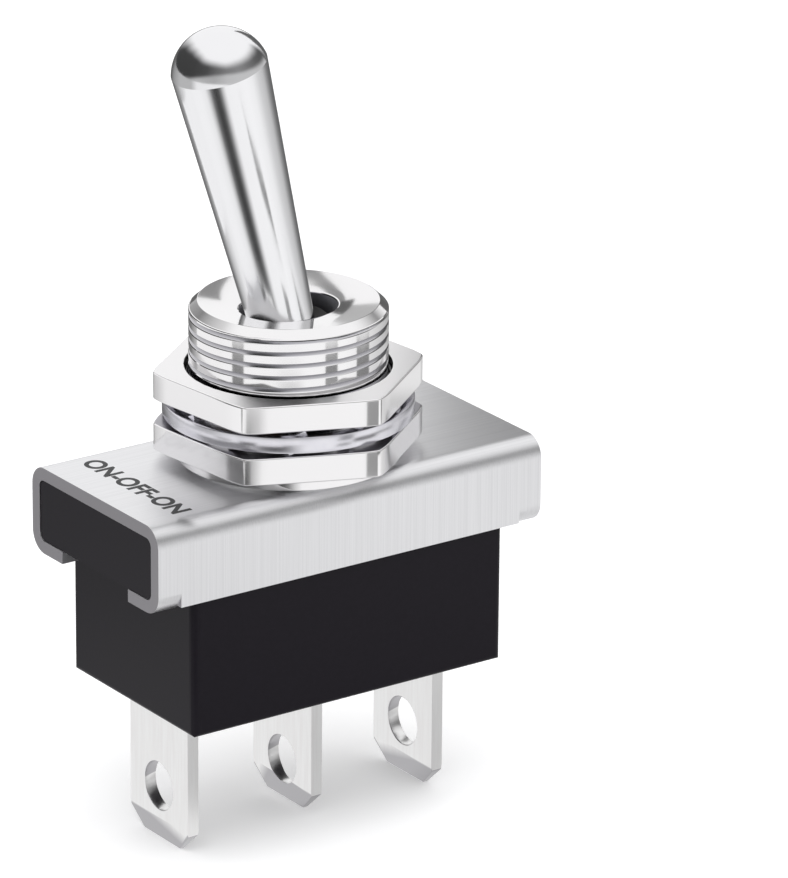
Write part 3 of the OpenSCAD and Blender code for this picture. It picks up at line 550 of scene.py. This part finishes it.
for name, made in {"bracket": sheet, "bushing": bright_nickel, "lower_nut": bright_nickel, "upper_nut": bright_nickel,
                   "lever": bright_chrome, "lock_washer": zinc, "pivot_pin": steel, "plunger": brass,
                   "plunger_spring": steel, "insulating_plate": fibre, "base": phenolic, "terminal_left": tinned,
                   "terminal_centre": tinned, "terminal_right": tinned, "fixed_contact_left": silver,
                   "fixed_contact_right": silver, "rocker_cradle": bronze, "cradle_rivet": bronze,
                   "rocker": bronze, "moving_contact_left": silver, "moving_contact_right": silver}.items():
    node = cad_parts[name]
    node.data.materials.clear()
    node.data.materials.append(made)

points = lever_points()
piece("bat_lever", points, ring_faces(points.shape[0], points.shape[1]), "lever", bright_chrome,
      "lever", crease=10)
# The plunger squeezes its spring. Here the spring rides on no body, and its place is baked into its points
points = spring_points()
spring = piece("wound_spring", points, ring_faces(points.shape[0], points.shape[1]), None, steel,
               "plunger_spring")
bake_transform(spring)
points, faces = bushing()
barrel = piece("threaded_bushing", points, faces, "switch_body", ringed_nickel, "bushing",
               crease=12)
# Kept out of the other pieces' mirrors, so that the lever's stripes run down to the slot and the nuts stay plain
barrel.visible_glossy = False
for name, node, z, nickel in (("lower_hex_nut", "lower_nut", LOWER_NUT_Z, nut_with_shaded_top),
                              ("upper_hex_nut", "upper_nut", UPPER_NUT_Z, shaded_mouth_nut)):
    points = nut_points(z)
    round_edges(piece(name, points, ring_faces(points.shape[0], points.shape[1], closed=True), "switch_body",
                      nickel, node, crease=0), NUT_EDGE)
softened("folded_bracket", "bracket", 0.09, "switch_body", sheet)
softened("moulded_base", "base", 0.12, "switch_body", phenolic)
points, faces = washer()
piece("tooth_lock_washer", points, faces, "switch_body", zinc, "lock_washer")
for side in ("left", "centre", "right"):
    softened("blade_terminal_" + side, "terminal_" + side, 0.07, "switch_body", tinned)


def printed_words(words, height, place):
    """Words as thin dark ink on the bracket, read along -Y with their tops towards +X and centred on place."""
    curve = bpy.data.curves.new("printed_words", "FONT")
    curve.body, curve.size, curve.offset = words, height * MM / CAPITAL_SHARE, STROKE_GROWTH * MM
    curve.align_x = curve.align_y = "CENTER"
    curve.extrude = INK_HALF_T * MM
    written = bpy.data.objects.new("words", curve)
    scene.collection.objects.link(written)
    bpy.context.view_layer.update()
    mesh = bpy.data.meshes.new_from_object(written)
    bpy.data.objects.remove(written)
    mesh.transform(Matrix(((0, 1, 0, place[0] * MM), (-1, 0, 0, place[1] * MM), (0, 0, 1, place[2] * MM),
                           (0, 0, 0, 1))))
    obj = bpy.data.objects.new("printed_words", mesh)
    scene.collection.objects.link(obj)
    obj.data.materials.clear()
    obj.data.materials.append(satin("pad_printed_ink", "#1b1b1e", "#232326", 0.0, 0.5, 0.3))
    obj.visible_glossy = False
    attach(obj, "switch_body")
    return obj


printed_words("ON-OFF-ON", 1.28, (-11.0, 0.0, 0.008))


# Studio

def plain_mesh(name, points, faces):
    """A piece of the studio, from points in millimetres."""
    mesh = bpy.data.meshes.new(name)
    mesh.from_pydata([[c * MM for c in p] for p in points], [], faces)
    obj = bpy.data.objects.new(name, mesh)
    scene.collection.objects.link(obj)
    return obj


def round_the_switch(tree, vector):
    """The turn of a direction or a place round the switch, as a share of a full turn that starts behind -X."""
    axes = add(tree, "ShaderNodeSeparateXYZ", {"Vector": vector})
    turn = add(tree, "ShaderNodeMath", {0: axes.outputs[1], 1: axes.outputs[0]}, operation="ARCTAN2")
    return axes, add(tree, "ShaderNodeMapRange", {"Value": turn.outputs[0], "From Min": -math.pi,
                                                  "From Max": math.pi})


def grey_stops(*rows):
    """Ramp stops from rows of an azimuth in degrees and a level."""
    return [((azimuth + 180) / 360, (level, level, level, 1)) for azimuth, level in rows]


# How much light the paper adds for the camera, so that it shows as white
FLOOR_LIFT = 0.25


def paper():
    """White paper that shows as white where nothing shades it.

    The metal sees grey patches on it, as it would see a photographer's cards. They lie in rings round the switch,
    each with its own levels by azimuth: from the outside in, where the lever's right side, the lever, the nuts,
    the lever again and the blades look.
    """
    made, tree, surface, where = finish("white_paper", "#f2f2f3", Roughness=0.9)
    surface.inputs["Specular IOR Level"].default_value = 0.1
    rays = add(tree, "ShaderNodeLightPath")
    seen = add(tree, "ShaderNodeMath", {0: rays.outputs["Is Camera Ray"], 1: rays.outputs["Is Transmission Ray"]},
               operation="MAXIMUM")
    lift = add(tree, "ShaderNodeMath", {0: seen.outputs[0], 1: FLOOR_LIFT}, operation="MULTIPLY")
    surface.inputs["Emission Color"].default_value = linear("#ffffff")
    tree.links.new(lift.outputs[0], surface.inputs["Emission Strength"])
    _, turn = round_the_switch(tree, where)
    flat = add(tree, "ShaderNodeVectorMath", {0: where, 1: (1, 1, 0)}, operation="MULTIPLY")
    away = add(tree, "ShaderNodeVectorMath", {0: flat.outputs[0]}, operation="LENGTH")
    inner = add(tree, "ShaderNodeValToRGB", {"Fac": turn.outputs[0]}, stops=grey_stops(
        (-180, 0.97), (180, 0.97), (-163, 0.9), (-155, 0.6), (-147, 0.15), (-138, 0.055), (-130, 0.07),
        (-124, 0.22), (-118, 0.62), (-111, 0.97), (-60, 1.0), (-35, 0.9), (40, 0.4), (60, 0.17), (88, 0.17),
        (100, 0.32), (113, 0.55), (138, 0.87), (160, 0.97)))
    nuts = add(tree, "ShaderNodeValToRGB", {"Fac": turn.outputs[0]}, stops=grey_stops(
        (-180, 0.97), (180, 0.97), (-140, 0.97), (-130, 0.5), (-121, 0.33), (-114, 0.45), (-105, 0.98),
        (-60, 1.0), (-35, 0.9), (-20, 0.76), (-5, 0.68), (6, 0.85), (22, 0.88), (32, 0.55), (60, 0.25),
        (88, 0.17), (100, 0.32), (113, 0.55), (126, 0.6), (138, 0.9), (160, 0.97)))
    middle = add(tree, "ShaderNodeValToRGB", {"Fac": turn.outputs[0]}, stops=grey_stops(
        (-180, 0.97), (180, 0.97), (-60, 1.0), (-35, 0.9), (40, 0.4), (60, 0.2), (88, 0.2), (100, 0.4),
        (113, 0.62), (138, 0.9), (160, 0.97)))
    outer = add(tree, "ShaderNodeValToRGB", {"Fac": turn.outputs[0]}, stops=grey_stops(
        (-180, 0.9), (180, 0.9), (-60, 1.0), (-43, 0.95), (-34, 0.84), (-24, 0.7), (-5, 0.56), (5, 0.36),
        (15, 0.22), (25, 0.15), (85, 0.12), (100, 0.3), (130, 0.5), (165, 0.5)))
    level = inner.outputs[0]
    for near, far, ring in ((76.5, 79, nuts), (84, 87, middle), (102, 116, outer)):
        step = add(tree, "ShaderNodeMapRange", {"Value": away.outputs["Value"], "From Min": near * MM,
                                                "From Max": far * MM}, interpolation_type="SMOOTHSTEP")
        level = add(tree, "ShaderNodeMapRange", {"Value": step.outputs[0], "To Min": level,
                                                 "To Max": ring.outputs[0]}).outputs[0]
    under = add(tree, "ShaderNodeValToRGB", {"Fac": turn.outputs[0]}, stops=grey_stops(
        (-180, 0.95), (180, 0.95), (-130, 0.95), (-110, 0.62), (-30, 0.62), (0, 0.95)))
    close = add(tree, "ShaderNodeMapRange", {"Value": away.outputs["Value"], "From Min": 40 * MM,
                                             "From Max": 30 * MM})
    level = add(tree, "ShaderNodeMapRange", {"Value": close.outputs[0], "To Min": level,
                                             "To Max": under.outputs[0]}).outputs[0]
    card = add(tree, "ShaderNodeEmission", {"Color": linear("#ffffff"), "Strength": level})
    both = add(tree, "ShaderNodeMixShader", {0: rays.outputs["Is Glossy Ray"], 1: surface.outputs[0],
                                             2: card.outputs[0]})
    tree.links.new(both.outputs[0], tree.nodes["Material Output"].inputs["Surface"])
    return made


floor = plain_mesh("floor", [(-1500, -1500, FLOOR_Z), (1500, -1500, FLOOR_Z), (1500, 1500, FLOOR_Z),
                             (-1500, 1500, FLOOR_Z)], [(0, 1, 2, 3)])
floor.data.materials.append(paper())


def lamp(name, place, size, power, aim=(0, 0, 5)):
    """A square soft lamp at place, aimed at the switch; all in millimetres."""
    light = bpy.data.lights.new(name, "AREA")
    light.shape = "RECTANGLE"
    light.size, light.size_y = size[0] * MM, size[1] * MM
    light.energy = power
    obj = bpy.data.objects.new(name, light)
    scene.collection.objects.link(obj)
    obj.location = Vector(place) * MM
    obj.rotation_mode = "QUATERNION"
    obj.rotation_quaternion = (Vector(place) - Vector(aim)).to_track_quat("Z", "Y")
    obj.visible_glossy = False


lamp("top_softbox", (-60, -120, 420), (360, 360), 0.8)
lamp("left_softbox", (-420, -160, 160), (300, 400), 0.15)


def card(name, ends, heights, level):
    """An upright grey card between two places on the ground plan, which only the metal sees."""
    (x0, y0), (x1, y1), (low, high) = ends[0], ends[1], heights
    obj = plain_mesh(name, [(x0, y0, low), (x1, y1, low), (x1, y1, high), (x0, y0, high)], [(0, 1, 2, 3)])
    made, tree, _, _ = finish(name + "_paper", "#a0a0a4", Roughness=1.0)
    grey = add(tree, "ShaderNodeEmission", {"Color": linear("#ffffff"), "Strength": level})
    tree.links.new(grey.outputs[0], tree.nodes["Material Output"].inputs["Surface"])
    obj.data.materials.append(made)
    obj.visible_camera = obj.visible_diffuse = obj.visible_shadow = obj.visible_transmission = False


# Round the switch and low, for the thread's three grey bands
card("card_for_the_left_band", ((-59.4, 9.2), (-60.1, -5.8)), (-16, -11), 0.22)
card("card_for_the_front_band", ((7.1, -59.7), (21.8, -56.2)), (-16, -11), 0.22)
card("card_for_the_right_band", ((43.5, -40.5), (54.1, -22.7)), (-16, -11), 0.22)
# Close in front, for the grey band at the right of the nuts' front faces
card("card_for_the_nuts", ((0.1, -15), (2.9, -14.7)), (-2, 3.3), 0.33)
# Close to the washer, for the two grey bands on its rim and the light between them
card("card_for_the_washer_left", ((-11.2, -5.2), (-10.25, -7.17)), (0.6, 1.85), 0.12)
card("card_for_the_washer_middle", ((-10.2, -7.26), (-7.7, -9.95)), (0.9, 1.85), 0.9)
card("card_for_the_washer_light", ((-0.93, -12.3), (1.75, -12.05)), (0.9, 1.85), 0.95)
card("card_for_the_washer_right", ((1.87, -12.0), (5.2, -10.5)), (0.6, 1.85), 0.15)
# Behind on the right, for the bracket's darker right half
card("card_for_the_bracket", ((40, 42), (95, 42)), (6, 60), 0.12)
# Close behind the bushing's top, for the grey wedges on its dish: DISH_AWAY from the axis, straight behind it as
# the camera sees it. Each row has the card's ends to the left of that line, its heights and its level
DISH_AWAY, BEHIND = 18, (math.cos(math.radians(55)), math.sin(math.radians(55)))
for k, (ends, heights, level) in enumerate((((-3.6, -1.6), (10.8, 15), 0.48), ((-1.6, -0.2), (12.3, 16.5), 0.12),
                                            ((-0.8, 0.4), (16.5, 20.5), 0.27), ((2.2, 4.4), (16, 20.5), 0.27))):
    card("card_for_the_dish_%d" % k, [(BEHIND[0] * DISH_AWAY - BEHIND[1] * left,
                                       BEHIND[1] * DISH_AWAY + BEHIND[0] * left) for left in ends], heights, level)
# Close behind on the left, so that the bracket is light where the lower nut mirrors it
card("card_for_the_nut", ((-20, 7.5), (-10.5, 18.5)), (1, 12), 0.95)

# A white room. In the metal its walls are dark above the horizon, low and deep on the left, and thin in front.
# Each row has an azimuth, the dark band's level, its upper and lower edge in degrees, and the level below it
WALLS = ((-180, 0.055, 33, 8, 0.50), (180, 0.055, 33, 8, 0.50), (-160, 0.065, 33, 14, 0.45),
         (-140, 0.12, 33, 19, 0.42), (-110, 0.20, 30, 22, 0.55), (-80, 0.25, 31, 21, 0.58),
         (-50, 0.18, 29, 19, 0.58), (-20, 0.11, 25, 14, 0.57), (10, 0.09, 17, 7, 0.60),
         (36, 0.30, -26, -28, 0.95), (62, 0.2, -26, -28, 0.5), (80, 0.06, -4, -28, 0.3),
         (100, 0.05, 16, -10, 0.35), (130, 0.048, 31, -5, 0.5), (160, 0.048, 35, 1, 0.5))
# Each edge is kept in a colour as a share of LOWEST to HIGHEST degrees. UPPER_SOFT and LOWER_SOFT are how far an
# edge's grey runs below and above it
LOWEST, HIGHEST, UPPER_SOFT, LOWER_SOFT = -30, 60, (0, 22), (-6, 4)
world = bpy.data.worlds.new("studio")
scene.world = world
world.use_nodes = True
tree = world.node_tree
tree.nodes.clear()
rays = add(tree, "ShaderNodeLightPath")
axes, turn = round_the_switch(tree, add(tree, "ShaderNodeTexCoord").outputs["Generated"])
rise = add(tree, "ShaderNodeMath", {0: axes.outputs[2]}, operation="ARCSINE")
rise = add(tree, "ShaderNodeMath", {0: rise.outputs[0]}, operation="DEGREES")
wall = add(tree, "ShaderNodeValToRGB", {"Fac": turn.outputs[0]}, stops=[
    ((azimuth + 180) / 360, (dark, (high - LOWEST) / (HIGHEST - LOWEST), (low - LOWEST) / (HIGHEST - LOWEST), below))
    for azimuth, dark, high, low, below in WALLS])
band = add(tree, "ShaderNodeSeparateColor", {0: wall.outputs[0]})
edges = [add(tree, "ShaderNodeMapRange", {"Value": band.outputs[k], "To Min": LOWEST + shift,
                                          "To Max": HIGHEST + shift})
         for k, shifts in ((1, UPPER_SOFT), (2, LOWER_SOFT)) for shift in shifts]
above = add(tree, "ShaderNodeMapRange", {"Value": rise.outputs[0], "From Min": edges[0].outputs[0],
                                         "From Max": edges[1].outputs[0]}, interpolation_type="SMOOTHSTEP")
inside = add(tree, "ShaderNodeMapRange", {"Value": rise.outputs[0], "From Min": edges[2].outputs[0],
                                          "From Max": edges[3].outputs[0]}, interpolation_type="SMOOTHSTEP")
low_wall = add(tree, "ShaderNodeMapRange", {"Value": inside.outputs[0], "To Min": wall.outputs[1],
                                            "To Max": band.outputs[0]})
walls = add(tree, "ShaderNodeMapRange", {"Value": above.outputs[0], "To Min": low_wall.outputs[0], "To Max": 0.99})
level = add(tree, "ShaderNodeMapRange", {"Value": rays.outputs["Is Glossy Ray"], "To Min": 0.9,
                                         "To Max": walls.outputs[0]})
room = add(tree, "ShaderNodeBackground", {"Color": linear("#ffffff"), "Strength": level.outputs[0]})
white = add(tree, "ShaderNodeBackground", {"Color": linear("#ffffff"), "Strength": 1.0})
choice = add(tree, "ShaderNodeMixShader", {0: rays.outputs["Is Camera Ray"], 1: room.outputs[0],
                                           2: white.outputs[0]})
add(tree, "ShaderNodeOutputWorld", {"Surface": choice.outputs[0]})

# The camera fitted to measured points of the photograph, to the left and a little above: its angles in degrees,
# its distance and offsets in millimetres, and the scale and height of the photograph in pixels
CAMERA_ANGLES, CAMERA_AWAY, CAMERA_SIDE, CAMERA_LIFT = (-35.227, 20.577, 0.49), 400, 6.3615, 0.6759
PIXELS_A_MM, PHOTO_H, SENSOR = 16.619, 878, 36
azimuth, elevation, roll = [math.radians(angle) for angle in CAMERA_ANGLES]
back = Vector((math.sin(azimuth) * math.cos(elevation), -math.cos(azimuth) * math.cos(elevation),
               math.sin(elevation)))
right = Vector((math.cos(azimuth), math.sin(azimuth), 0))
up = back.cross(right)
right, up = (right * math.cos(roll) + up * math.sin(roll), up * math.cos(roll) - right * math.sin(roll))
camera = bpy.data.objects.new("camera", bpy.data.cameras.new("camera"))
scene.collection.objects.link(camera)
camera.data.sensor_width = SENSOR
camera.data.lens = PIXELS_A_MM * CAMERA_AWAY / PHOTO_H * SENSOR
camera.data.clip_start, camera.data.clip_end = 0.01, 10
place = (back * CAMERA_AWAY + right * CAMERA_SIDE + up * CAMERA_LIFT) * MM
camera.matrix_world = Matrix((
    (right.x, up.x, back.x, place.x), (right.y, up.y, back.y, place.y), (right.z, up.z, back.z, place.z),
    (0, 0, 0, 1)))
scene.camera = camera
scene.view_settings.view_transform = "Standard"
